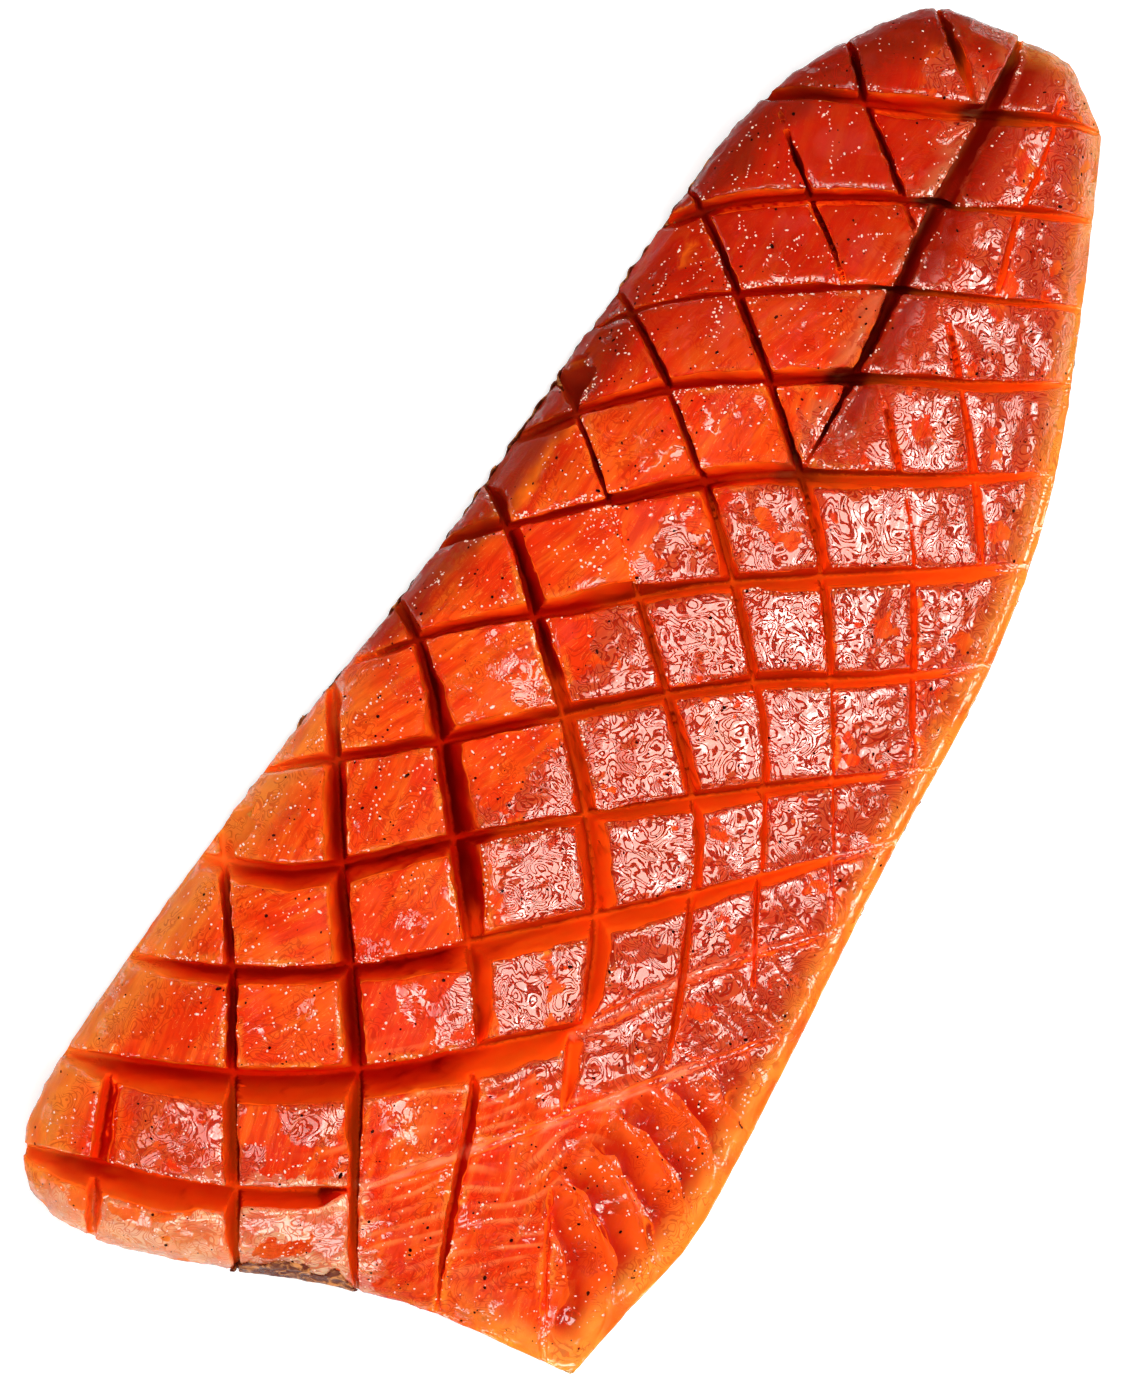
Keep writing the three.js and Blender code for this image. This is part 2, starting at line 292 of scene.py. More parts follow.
cell_middles = np.indices(map_size).transpose(1, 2, 0) * CELL + map_corner + CELL / 2
flat_numbers = block_numbers.ravel()
block_sizes = np.maximum(np.bincount(flat_numbers, minlength=block_count + 1), 1)
block_sums = [
    np.bincount(flat_numbers, cell_middles[..., axis].ravel(), block_count + 1) for axis in (0, 1)
]
block_middles = (np.array(block_sums) / block_sizes).T
from_middle = cell_middles - block_middles[block_numbers]
lift = past_lips(sinks[block_numbers] + (from_middle * tilts[block_numbers]).sum(2))
tone = past_lips(tones[block_numbers])
lean = [past_lips(leans[block_numbers, axis]) for axis in (0, 1)]

# The dried face heaves and wrinkles, and the walls of the cuts waver.
normals = normals_of(flesh.data)
depth = read_map(crown, places) - places[:, 2]
on_top = step(2.2 * MM, 0.7 * MM, depth) * step(0.3, 0.7, normals[:, 2])
hold = step(14 * MM, 0, depth) * step(4.5 * MM, 9 * MM, places[:, 2])
heave = 0.35 * MM * ripples(places, 17 * MM, 21)
folds = ripples(places, 5.5 * MM, 22)
creases = 1 - np.abs(ripples(places + 0.6 * MM * folds[:, None], 7 * MM, 23))
film = 0.16 * MM * folds + 0.3 * MM * np.maximum(creases - 0.55, 0)
broad_waver = 0.24 * ripples(places * [1, 1, 0.5], 9 * MM, 24)
fine_waver = 0.1 * ripples(places * [1, 1, 0.6], 3 * MM, 26)
waver = MM * (broad_waver + fine_waver)

# Near the tip the flesh parts into shells around one point, and beside them it shows its layers in long
# steps that rise to the right.
FLAKE_MIDDLE = (-25, -167)
FLAKE_FIRST = 39
FLAKE_GAP = 12.5
FLAKE_STEP = 1.9 * MM
LAYER_RISE = math.radians(17)
LAYER_GAP = 4.8
LAYER_STEP = 0.45 * MM


def flake_rings(places):
    """How many shells out a place lies, and how clearly the flesh parts there."""
    u, v = board_plan(places)
    radius = np.hypot(u - FLAKE_MIDDLE[0], v - FLAKE_MIDDLE[1]) + 1.2 * ripples(places, 16 * MM, 25)
    heading = np.degrees(np.arctan2(v - FLAKE_MIDDLE[1], u - FLAKE_MIDDLE[0]))
    parted = step(22, 30, radius) * step(-40, -25, heading) * step(56, 44, heading)
    parted *= step(2.5, 8, from_outline(places))
    return (radius - FLAKE_FIRST) / FLAKE_GAP, parted


def layer_rows(places):
    """How many layers up a place lies, and how clearly they show there."""
    u, v = board_plan(places)
    straight_rows = (v * math.cos(LAYER_RISE) - u * math.sin(LAYER_RISE)) / LAYER_GAP
    shown = step(-88, -104, v - 0.1 * u) * step(-78, -62, u) * step(-172, -160, v) * step(46, 30, u)
    return straight_rows + 0.45 * ripples(places, 34 * MM, 27), shown


rings, parted = flake_rings(places)
saw = np.mod(rings, 1)
flakes = FLAKE_STEP * parted * (saw ** 1.6 * step(1.0, 0.86, saw) - 0.4)
rows, shown = layer_rows(places)
row_saw = np.mod(rows, 1)
flakes += LAYER_STEP * shown * (1 - parted) * (row_saw * step(1.0, 0.8, row_saw) - 0.4)

# Along the seam down the middle the left lip stands up and the right side falls away from it.
SEAM = [(136, 198), (104, 136), (65, 60)]
SEAM_RISE = 0.9 * MM
SEAM_DROP = 3.0 * MM


def beside_line(u, v, start, end):
    """How far board points lie from a line, and 1 on its left hand or -1 on its right."""
    run = np.array([end[0] - start[0], end[1] - start[1]], float)
    past_u, past_v = u - start[0], v - start[1]
    share = np.clip((past_u * run[0] + past_v * run[1]) / (run @ run), 0, 1)
    apart = np.hypot(past_u - share * run[0], past_v - share * run[1])
    return apart, np.sign(run[0] * past_v - run[1] * past_u)


def seam_fold(places):
    """How far the seam lifts or lowers the flesh, and how surely a place is on its slope, on its raised
    lip and anywhere beside it."""
    u, v = board_plan(places)
    beside = np.full(len(u), 1e3)
    for start, end in zip(SEAM, SEAM[1:]):
        apart, hand = beside_line(u, v, start, end)
        beside = np.where(apart < np.abs(beside), apart * hand, beside)
    reached = step(50, 80, v)
    slope = step(0, 1.5, beside) * step(18, 6, beside) * reached
    lip = step(0, -2, beside) * step(-9, -3, beside)
    near_seam = step(7, 4, np.abs(beside)) * reached
    return SEAM_RISE * lip - SEAM_DROP * slope, slope, lip * reached, near_seam


# The light side of the fish keeps a crackled film right of this line of [v, u].
FILM_FROM = [(-110, -30), (-60, -22), (0, -5), (40, 22), (70, 68), (100, 90), (150, 106), (200, 120)]


def film_share(places):
    """How surely a place is on the light side, and how far right of its border it lies."""
    u, v = board_plan(places)
    past_border = u - np.interp(v, *zip(*FILM_FROM))
    return step(-10, 8, past_border + 7 * ripples(places, 30 * MM, 31)) * step(-118, -104, v), past_border


# Each block has drawn up into a low cushion, round at its lips, and flatter under the film.
CUSHION = 1.5 * MM
CUSHION_REACH = 3.0 * MM
from_lip = read_map(lipward, places)
lip_fall = (1 - np.clip(from_lip / CUSHION_REACH, 0, 1)) ** 2.2
cushion = CUSHION * (0.6 * film_share(places)[0] - 1) * lip_fall

rise = on_top * (heave + film + flakes + cushion) + hold * (read_map(lift, places) + seam_fold(places)[0])
move = np.zeros_like(places)
move[:, 2] = rise
inner_top = on_top * step(0.8 * MM, 2.4 * MM, from_lip)
sideways = (1 - inner_top) * step(3 * MM, 7 * MM, places[:, 2])
move += normals * (waver * sideways)[:, None]
for axis in (0, 1):
    move[:, axis] += hold * read_map(lean[axis], places)
places += move

BEADS_STAND = 0.4 * MM
SOFT_TOP = 2.0 * MM
low_corner, high_corner = np.array(side_low), np.array(side_high)


def under_top(heights):
    """Heights that press up softly against the greatest height of the side, less room for the beads."""
    over = np.maximum(heights - (high_corner[2] - BEADS_STAND - SOFT_TOP), 0)
    return heights - over + SOFT_TOP * np.tanh(over / SOFT_TOP)


places[:, 2] = under_top(places[:, 2])
places = np.clip(places, low_corner, high_corner)
set_places(flesh.data, places)

# Up to a wavy line round its foot the side is wrapped in skin, and the flesh lies that much further in. At
# the wide end a loose flap of skin reaches up the slope.
SKIN_THICK = 0.5 * MM
SKIN_FOOT = 0.9 * MM
RIM_REACH = 7
RIM_CURL = 0.45
u, v = board_plan(places)
by_edge = from_outline(places)
rim_waves = 0.5 * ripples(places, 14 * MM, 41)
rim_height = MM * (2.2 + rim_waves + 2.6 * left_side(u, v) * step(-60, 60, v))
flap = step(-98, -88, u) * step(-56, -66, u) * step(-138, -146, v)
flap_reach = (6.2 + 1.3 * ripples(places, 11 * MM, 42)) * flap
by_rim = (places[:, 2] < rim_height) & (by_edge < RIM_REACH) & (on_top < 0.4)
skinned = (places[:, 2] < SKIN_FOOT) | by_rim | (by_edge < flap_reach)
rim_share = step(0.35, 1.0, places[:, 2] / rim_height) * (1 - flap)
stands_off = rim_share * RIM_CURL * MM * (1 + ripples(places, 7 * MM, 43))

shape = bmesh.new()
shape.from_mesh(flesh.data)
outward = normals_of(flesh.data)
for vertex, offset in zip(shape.verts, outward * stands_off[:, None]):
    vertex.co += Vector(offset)
bare = [vertex for vertex in shape.verts if not skinned[vertex.index]]
bmesh.ops.delete(shape, geom=bare, context="VERTS")
skin_mesh = made_mesh(shape, "skin")

under_skin = step(0.9 * MM, 0, places[:, 2] - rim_height) * (by_edge < RIM_REACH + 1) * (1 - on_top)
under_skin = np.maximum(under_skin, step(1.0, 0.0, by_edge - flap_reach) * (flap_reach > 0.5))
under_skin = np.maximum(under_skin, step(1.6 * MM, SKIN_FOOT, places[:, 2]))
places -= outward * (under_skin * 0.7 * SKIN_THICK)[:, None]
set_places(flesh.data, places)

FLESH_TRIANGLES = 190000
thin_out(flesh, FLESH_TRIANGLES / (2 * len(flesh.data.polygons)))


def store(mesh, name, values):
    layer = mesh.attributes.new(name, "FLOAT", "POINT")
    layer.data.foreach_set("value", values.astype(np.float32))


places = places_of(flesh.data)
u, v = board_plan(places)
by_edge = from_outline(places)
fold, seam_slope, seam_lip, near_seam = seam_fold(places)
risen = under_top(read_map(crown + lift, places) + fold)
store(flesh.data, "crown", risen)
store(flesh.data, "seam_slope", seam_slope)
store(flesh.data, "seam_lip", seam_lip)
store(flesh.data, "near_seam", near_seam)
for name, values in {"inland": inland, "tone": tone, "lipward": lipward}.items():
    store(flesh.data, name, read_map(values, places))
for name, (number, shown) in {"shell": flake_rings(places), "layer": layer_rows(places)}.items():
    store(flesh.data, name, number)
    store(flesh.data, name + "_shown", shown)

# Thin lines of fat run across the wide end.
FAT_LINES = [
    [(2, -97), (38, -79), (60, -71)],
    [(-61, -140), (0, -120), (40, -105)],
]
FAT_WIDE = 1.7


def along_line(points):
    """1 on a line through board points and 0 from the width of a line of fat outwards."""
    nearest = np.full(len(u), np.inf)
    for start, end in zip(points, points[1:]):
        nearest = np.minimum(nearest, beside_line(u, v, start, end)[0])
    return step(FAT_WIDE, FAT_WIDE * 0.4, nearest)


store(flesh.data, "fat", np.maximum.reduce([along_line(line) for line in FAT_LINES]))

# Where the film is, where smoke has darkened the flesh, and where it is fatty.
film_zone, past_border = film_share(places)
belly_side = step(-10, 20, past_border)
film_zone *= 1 - 0.6 * step(5, 1.5, by_edge) * belly_side
end_zone = step(-134, -139, v + 2 * ripples(places, 12 * MM, 33)) * step(-50, -62, u)
end_row = step(-108, -113, v) * step(-50, -62, u) * step(-128, -118, u)
store(flesh.data, "film", np.maximum.reduce([film_zone, 0.75 * end_zone, 0.65 * end_row]))
left_rim = step(22, 4, by_edge) * left_side(u, v)
smoke_along = step(0, 25, v) * step(150, 100, v) + step(130, 150, v)
store(flesh.data, "smoked", np.clip(left_rim * smoke_along + 0.5 * step(160, 190, v), 0, 1))
fatty = step(13, 3, by_edge) * belly_side
fatty = np.maximum(fatty, 0.75 * step(20, 4, by_edge) * step(20, -20, v) * left_side(u, v))
store(flesh.data, "fatty", fatty)
store(flesh.data, "end", end_zone)
far_end = step(30, 150, v + 18 * ripples(places, 60 * MM, 34))
store(flesh.data, "ruddy", np.clip(far_end - 0.5 * fatty - 0.7 * film_zone, 0, 1))

# Which walls are turned from the light, and which slopes lie open to the air and have dried like the face.
outward = normals_of(flesh.data)
along_u = outward[:, 0] * math.cos(BOARD_TURN) + outward[:, 1] * math.sin(BOARD_TURN)
along_v = outward[:, 1] * math.cos(BOARD_TURN) - outward[:, 0] * math.sin(BOARD_TURN)
dark_side = np.clip(step(0.1, 0.7, -along_u) + 0.5 * step(0.2, 0.8, along_v), 0, 1)
light_side = np.clip(step(0.1, 0.6, -along_v) + 0.8 * step(0.1, 0.6, along_u), 0, 1)
store(flesh.data, "turned_away", dark_side + (0.85 * light_side - dark_side) * film_zone)
inward_x, inward_y = (read_map(slope, places) for slope in np.gradient(inland, CELL))
faces_out = -(outward[:, 0] * inward_x + outward[:, 1] * inward_y)
sunk_by = risen - places[:, 2]
shelf = step(0.75, 0.9, outward[:, 2]) * step(1.5 * MM, 0, sunk_by - (3.5 + 6 * end_row) * MM)
store(flesh.data, "open_face", np.maximum(step(14, 8, by_edge) * step(0.15, 0.5, faces_out), shelf))
for name, length in {"cloud_wide": 26, "cloud": 17, "cloud_small": 11}.items():
    store(flesh.data, name, 0.5 + 0.15 * ripples(places, length * MM, 60 + length))
shade_smooth(flesh.data)


def new_look(name):
    """A material, with the nodes, the links and the shader that it is made from."""
    look = bpy.data.materials.new(name)
    look.use_nodes = True
    tree = look.node_tree
    return look, tree.nodes, tree.links, tree.nodes["Principled BSDF"]


def wear(piece, look):
    """Gives the piece one look all over."""
    piece.data.materials.clear()
    piece.data.materials.append(look)


def node(kind, inputs=(), **settings):
    """A node with its settings, and its inputs linked or set in order, or by name or number."""
    made = nodes.new(kind)
    for setting, value in settings.items():
        setattr(made, setting, value)
    pairs = inputs.items() if isinstance(inputs, dict) else enumerate(inputs)
    for socket, value in pairs:
        if isinstance(value, bpy.types.NodeSocket):
            links.new(value, made.inputs[socket])
        elif value is not None:
            made.inputs[socket].default_value = value
    return made


def maths(operation, *values):
    return node("ShaderNodeMath", values, operation=operation).outputs[0]


def product(*values):
    total = values[0]
    for value in values[1:]:
        total = maths("MULTIPLY", total, value)
    return total


def rest_of(share):
    return maths("SUBTRACT", 1.0, share)


def off_from(value, middle):
    """How far a value is off from a middle one, to either side."""
    return maths("ABSOLUTE", maths("SUBTRACT", value, middle))


def attribute(name):
    return node("ShaderNodeAttribute", attribute_name=name).outputs["Fac"]


def ramp(value, low, high, to_low=0.0, to_high=1.0):
    sockets = (value, low, high, to_low, to_high)
    return node("ShaderNodeMapRange", sockets, interpolation_type="SMOOTHSTEP").outputs[0]


# A Mix node's sockets for colours are called the same as those for values, so they are given by number.
MIX_SHARE, MIX_UNDER, MIX_OVER, MIX_RESULT = 0, 6, 7, 2


def mixed(share, under, over):
    sockets = {MIX_SHARE: share, MIX_UNDER: under, MIX_OVER: over}
    return node("ShaderNodeMix", sockets, data_type="RGBA").outputs[MIX_RESULT]


def colour(red, green, blue):
    """A paint colour given as it looks on a screen, from 0 to 255."""
    def light(value):
        share = value / 255
        return share / 12.92 if share <= 0.04045 else ((share + 0.055) / 1.055) ** 2.4
    return (light(red), light(green), light(blue), 1.0)


def noise(scale, detail=2.0, roughness=0.5, distortion=0.0, places=None):
    sockets = {"Vector": places or spot, "Scale": scale, "Detail": detail, "Roughness": roughness,
               "Distortion": distortion}
    return node("ShaderNodeTexNoise", sockets).outputs["Fac"]


def turned_places(angle, stretch):
    """The place on the piece, turned about the upright, and then each way times its stretch."""
    sockets = {"Vector": spot, "Angle": angle}
    turned = node("ShaderNodeVectorRotate", sockets, rotation_type="Z_AXIS").outputs[0]
    return node("ShaderNodeVectorMath", (turned, stretch), operation="MULTIPLY").outputs[0]


flesh_look, nodes, links, shader = new_look("flesh")
spot = node("ShaderNodeTexCoord").outputs["Object"]
height = node("ShaderNodeSeparateXYZ", [spot]).outputs["Z"]
below = maths("SUBTRACT", attribute("crown"), height)
top = maths("MAXIMUM", ramp(below, 1.7 * MM, 0.7 * MM), attribute("open_face"))
lip_by, film_by, tone_by = attribute("lipward"), attribute("film"), attribute("tone")
cloudy, cloud, cloud_small = attribute("cloud_wide"), attribute("cloud"), attribute("cloud_small")

# The grain of the flesh, which runs up to the right on the board and a little differently in each block.
GRAIN_TURN = BOARD_TURN + math.radians(50)
grain_angle = maths("ADD", maths("MULTIPLY", tone_by, -0.9), 0.45 - GRAIN_TURN)
grain_places = turned_places(grain_angle, (0.14, 1.0, 1.0))
grain = noise(560, 2, 0.6, 0.0, grain_places)
broad_grain = noise(230, 1, 0.5, 0.0, grain_places)

# The dry face is orange, redder on some blocks and at the far end, and painted golden along the lips that are
# not turned from the light, as a painted highlight.
FACE_ORANGE = colour(222, 50, 12)
FACE_BRIGHT = colour(236, 80, 16)
FACE_RED = colour(212, 40, 10)
GRAIN_BRIGHT = colour(242, 108, 22)
GRAIN_DARK = colour(196, 32, 8)
FIBRE_PALE = colour(250, 146, 60)
LIT_LIP_GOLD = colour(246, 138, 40)
FAR_END_RED = colour(168, 20, 6)
base = mixed(ramp(cloudy, 0.35, 0.65), FACE_ORANGE, FACE_BRIGHT)
base = mixed(product(tone_by, 0.55), base, FACE_RED)
base = mixed(ramp(broad_grain, 0.48, 0.68, 0, 0.4), base, GRAIN_BRIGHT)
base = mixed(ramp(grain, 0.5, 0.32, 0, 0.5), base, GRAIN_DARK)
fibre = ramp(off_from(grain, 0.56), 0.01, 0.0)
base = mixed(product(fibre, 0.4), base, FIBRE_PALE)
# Painted highlight: gold on the lips that are not turned from the light.
lit_lip_gold = product(ramp(lip_by, 3.8 * MM, 1.4 * MM), ramp(lip_by, 0.0, 1.2 * MM), ramp(cloud, 0.5, 0.62),
               rest_of(attribute("turned_away")))
base = mixed(product(lit_lip_gold, 0.65), base, LIT_LIP_GOLD)
base = mixed(product(attribute("ruddy"), 0.84), base, FAR_END_RED)

# The walls of the cuts carry painted light and shade. Painted shade darkens them to a strong red with depth,
# to dark red where they turn from the light, beside the seam and at the foot of the cuts. Painted light makes
# them a brighter orange near the lips and on the light side of the fish.
WALL_HIGH = colour(248, 84, 14)
WALL_DEEP_SHADE = colour(230, 36, 5)
WALL_CLOUD = colour(236, 50, 8)
WALL_LIP_GLOW = colour(252, 116, 22)
WALL_FILM_LIT = colour(250, 96, 16)
SHADE_HIGH = colour(172, 12, 3)
SHADE_DEEP = colour(124, 6, 2)
SEAM_WALL_SHADE = colour(110, 10, 3)
CUT_FOOT_SHADE = colour(84, 6, 2)
SEAM_SLOPE_SHADE = colour(128, 14, 4)
SEAM_LIP_SHEEN = colour(190, 104, 62)
# Painted light: the walls are painted a brighter orange near the lips, for light that comes through the flesh
# there.
lip_glow = ramp(below, 9.0 * MM, 1.0 * MM)
# Painted shade: the walls are painted darker and redder deeper in the cuts.
deep = ramp(below, 6.0 * MM, 22 * MM)
wall = mixed(deep, WALL_HIGH, WALL_DEEP_SHADE)
wall = mixed(ramp(cloud_small, 0.35, 0.65, 0, 0.3), wall, WALL_CLOUD)
wall = mixed(lip_glow, wall, WALL_LIP_GLOW)
# Painted light: on the light side of the fish the walls are painted a brighter orange.
wall = mixed(product(film_by, ramp(cloud, 0.3, 0.6, 0.5, 0.9)), wall, WALL_FILM_LIT)
in_shade = product(attribute("turned_away"), ramp(below, 1.4 * MM, 3.2 * MM), 0.95)
wall = mixed(in_shade, wall, mixed(deep, SHADE_HIGH, SHADE_DEEP))
# Painted shade: the walls are painted dark red beside the seam.
wall = mixed(product(attribute("near_seam"), 0.9), wall, SEAM_WALL_SHADE)
# Painted shade: a dark line is painted at the foot of the cuts.
foot = product(ramp(height, 4.0 * MM, 2.6 * MM), ramp(attribute("inland"), 4 * MM, 9 * MM))
wall = mixed(foot, wall, CUT_FOOT_SHADE)
base = mixed(top, wall, base)
# Painted shade: the slope right of the seam is painted dark red.
base = mixed(product(attribute("seam_slope"), 0.9), base, SEAM_SLOPE_SHADE)
# Painted highlight: the seam's raised lip is painted a glistening beige.
base = mixed(product(attribute("seam_lip"), ramp(cloud_small, 0.4, 0.6), 0.6), base, SEAM_LIP_SHEEN)

# A painted glow: the walls of the cuts give off light of their own, brighter on the light side, standing in
# for light that has gone through the blocks and comes out again.
GLOW_HIGH = colour(145, 25, 3)
GLOW_DEEP = colour(120, 8, 1)
GLOW_LIP = colour(150, 46, 6)
GLOW_FILM = colour(236, 88, 12)
NO_GLOW = (0.0, 0.0, 0.0, 1.0)
through = product(rest_of(top), rest_of(foot), rest_of(in_shade), rest_of(attribute("near_seam")),
                  ramp(attribute("inland"), 2 * MM, 7 * MM))
glow = mixed(lip_glow, mixed(deep, GLOW_HIGH, GLOW_DEEP), GLOW_LIP)
glow = mixed(film_by, glow, GLOW_FILM)
links.new(mixed(through, NO_GLOW, glow), shader.inputs["Emission Color"])
shader.inputs["Emission Strength"].default_value = 0.2

# The shells at the tip go from a painted shadow of dark red inside, at the foot of each step, to orange at
# their outer lip, and the layers are edged paler.
SHELL_SHADOW = colour(174, 20, 6)
SHELL_OUTER = colour(238, 80, 16)
LAYER_EDGE = colour(246, 130, 66)
shell = maths("FRACT", attribute("shell"))
# Painted shadow: dark red at the foot of each shell's step, lightening to orange towards its lip.
shell_shadow_tint = mixed(ramp(shell, 0.1, 0.85), SHELL_SHADOW, SHELL_OUTER)
base = mixed(product(attribute("shell_shown"), top, 0.9), base, shell_shadow_tint)
layer = maths("FRACT", attribute("layer"))
layered = product(attribute("layer_shown"), rest_of(attribute("shell_shown")), top)
layer_edge = product(ramp(layer, 0.45, 0.8), ramp(layer, 1.0, 0.86), layered)
base = mixed(product(layer_edge, ramp(cloud_small, 0.35, 0.6), 0.5), base, LAYER_EDGE)

# The fatty edges are a light orange, smoke has browned the left rim, and the lines of fat are pale.
EDGE_ORANGE = colour(250, 152, 54)
SMOKE_BROWN = colour(116, 26, 10)
FAT_PALE = colour(246, 160, 116)
edge_tint = product(attribute("fatty"), ramp(cloud, 0.25, 0.55, 0.45, 1.0))
base = mixed(product(edge_tint, 0.85), base, EDGE_ORANGE)
smoke_drift = maths("MULTIPLY", maths("SUBTRACT", noise(60, 3, 0.6), 0.5), 1.2)
smoke_reach = maths("ADD", attribute("smoked"), smoke_drift)
smoke = product(ramp(smoke_reach, 0.25, 0.85), ramp(attribute("smoked"), 0.02, 0.25))
base = mixed(product(smoke, 0.7), base, SMOKE_BROWN)
base = mixed(product(attribute("fat"), ramp(cloud_small, 0.3, 0.6), 0.6), base, FAT_PALE)

# The dried film: a thin pale glaze with sharp borders, drawn up into small smooth waves, with creases that
# wander between them.
FILM_TINT = colour(194, 70, 40)
FILM_END_AND_SHEEN = colour(252, 196, 140)
CREASE_RED = colour(152, 20, 6)
CREASE_END = colour(206, 84, 42)
CREASE_BARE = colour(172, 24, 6)
film_edge = noise(85, 3, 0.55)
film_cover = maths("SUBTRACT", maths("MULTIPLY_ADD", film_by, 0.22, 0.41), product(attribute("ruddy"), 0.08))
film_here = product(ramp(maths("SUBTRACT", film_edge, film_cover), 0.012, -0.012), top,
                    ramp(lip_by, 0.0, 0.5 * MM), rest_of(attribute("seam_slope")))
lip_film = product(ramp(film_edge, 0.54, 0.52), ramp(lip_by, 2.8 * MM, 1.6 * MM),
                   ramp(below, 3.4 * MM, 2.0 * MM))
shell_lip = product(attribute("shell_shown"), ramp(shell, 0.76, 0.84), ramp(shell, 1.0, 0.95),
                    ramp(film_edge, 0.52, 0.49))
film_here = maths("MAXIMUM", film_here, maths("MAXIMUM", lip_film, shell_lip))
wave = noise(190, 1, 0.4)
ribbon = maths("FRACT", maths("MULTIPLY", noise(95, 1.0, 0.4, 2.2), 10.0))
ribbon_crease = ramp(off_from(ribbon, 0.5), 0.19, 0.12)
wave_crease = ramp(off_from(wave, 0.47), 0.012, 0.006)
crease = maths("MAXIMUM", ribbon_crease, wave_crease)
crease = product(crease, maths("MULTIPLY_ADD", attribute("end"), -0.25, 1.0))
crease_tint = mixed(attribute("end"), CREASE_RED, CREASE_END)
film_tint = product(film_here, film_by, maths("MULTIPLY_ADD", attribute("fatty"), -0.6, 0.7))
base = mixed(film_tint, base, FILM_TINT)
crease_share = product(maths("MULTIPLY_ADD", film_by, 0.7, 0.15),
                       maths("MULTIPLY_ADD", attribute("fatty"), -0.65, 1.0))
base = mixed(product(crease, film_here, crease_share), base, crease_tint)
bare_crease = product(crease, top, ramp(cloud, 0.48, 0.56))
base = mixed(product(bare_crease, rest_of(film_here), 0.5), base, CREASE_BARE)
glaze = product(film_here, rest_of(crease))
# At the wide end the glazed film is painted pale beige, partly the film's own pale tint and partly a painted
# reflection of the light.
end_film_and_sheen = product(attribute("end"), glaze)
base = mixed(product(end_film_and_sheen, ramp(cloud_small, 0.38, 0.6, 0.15, 0.55)), base, FILM_END_AND_SHEEN)
links.new(base, shader.inputs["Base Color"])

waves_up = product(maths("SUBTRACT", wave, 0.5), maths("MULTIPLY_ADD", film_here, 0.26, 0.24))
creases_down = product(crease, maths("MULTIPLY_ADD", film_here, 0.2, 0.02))
grain_up = product(maths("SUBTRACT", grain, 0.5), maths("MULTIPLY_ADD", film_here, -0.08, 0.16))
relief = maths("ADD", maths("SUBTRACT", waves_up, creases_down), grain_up)
relief = product(relief, maths("MULTIPLY_ADD", top, 0.94, 0.06))
bump = node("ShaderNodeBump", {"Strength": 1.0, "Distance": 1.0 * MM, "Height": relief})
links.new(bump.outputs["Normal"], shader.inputs["Normal"])

rough = mixed(film_here, ramp(cloud_small, 0.3, 0.7, 0.14, 0.2), ramp(cloud, 0.35, 0.65, 0.08, 0.12))
links.new(rough, shader.inputs["Roughness"])
wet = product(ramp(below, 14 * MM, 3 * MM), 0.025)
links.new(maths("MULTIPLY_ADD", glaze, 0.85, wet), shader.inputs["Specular IOR Level"])
shader.inputs["IOR"].default_value = 1.5
shader.subsurface_method = "BURLEY"
shader.inputs["Subsurface Weight"].default_value = 0.8
shader.inputs["Subsurface Radius"].default_value = (1.0, 0.16, 0.05)
shader.inputs["Subsurface Scale"].default_value = 10.0 * MM
wear(flesh, flesh_look)
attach(flesh, "root")
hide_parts("fillet")

# The skin
# The fish's own scaled skin, a thin closed sheet round the underside. Salt and smoke have turned it bronze
# and nearly black along the back and dull silver towards the belly, and its dried rim stands off the flesh.
SKIN_TRIANGLES = 90000
skin = new_piece("skin", skin_mesh)
thicken = skin.modifiers.new("thicken", "SOLIDIFY")
thicken.thickness = SKIN_THICK
thicken.offset = -1
thin_out(skin, SKIN_TRIANGLES / (4 * len(skin_mesh.polygons)))
set_places(skin.data, np.clip(places_of(skin.data), low_corner, high_corner))
places = places_of(skin.data)
u, v = board_plan(places)
store(skin.data, "belly", step(-30, 60, u - 0.25 * v + 14 * ripples(places, 50 * MM, 44)))
store(skin.data, "rim", step(0.8 * MM, 2.4 * MM, places[:, 2]))
shade_smooth(skin.data)

SCALE_GAP = 5.5 * MM
BACK_BRONZE = colour(58, 34, 26)
BELLY_SILVER = colour(156, 140, 122)
SCALE_BROWN = colour(112, 78, 52)
SCALE_SEAM = colour(38, 20, 14)
SMOKE_GOLD = colour(150, 92, 44)
RIM_BROWN = colour(100, 34, 10)
RIM_PALE = colour(216, 136, 70)
skin_look, nodes, links, shader = new_look("skin")
spot = node("ShaderNodeTexCoord").outputs["Object"]
flat_places = turned_places(-BOARD_TURN, (0.75, 1.0, 0.0))


def scale_pattern(**settings):
    sockets = {"Vector": flat_places, "Scale": 1 / SCALE_GAP, "Randomness": 0.28}
    return node("ShaderNodeTexVoronoi", sockets, **settings)


scale_tone = node("ShaderNodeSeparateColor", [scale_pattern().outputs["Color"]]).outputs[0]
scale_edge = scale_pattern(feature="DISTANCE_TO_EDGE").outputs["Distance"]
belly, rim = attribute("belly"), attribute("rim")
base = mixed(belly, BACK_BRONZE, BELLY_SILVER)
base = mixed(product(scale_tone, 0.5), base, SCALE_BROWN)
base = mixed(ramp(scale_edge, 0.09, 0.02, 0, 0.6), base, SCALE_SEAM)
base = mixed(ramp(noise(30, 4, 0.6), 0.45, 0.7, 0, 0.6), base, SMOKE_GOLD)
wrinkle = noise(230, 3, 0.55, 1.6)
base = mixed(rim, base, mixed(ramp(wrinkle, 0.48, 0.68), RIM_BROWN, RIM_PALE))
links.new(base, shader.inputs["Base Color"])
scales_up = product(ramp(scale_edge, 0.0, 0.22), 0.35)
wrinkles_up = product(wrinkle, maths("MULTIPLY_ADD", rim, 1.6, 0.15))
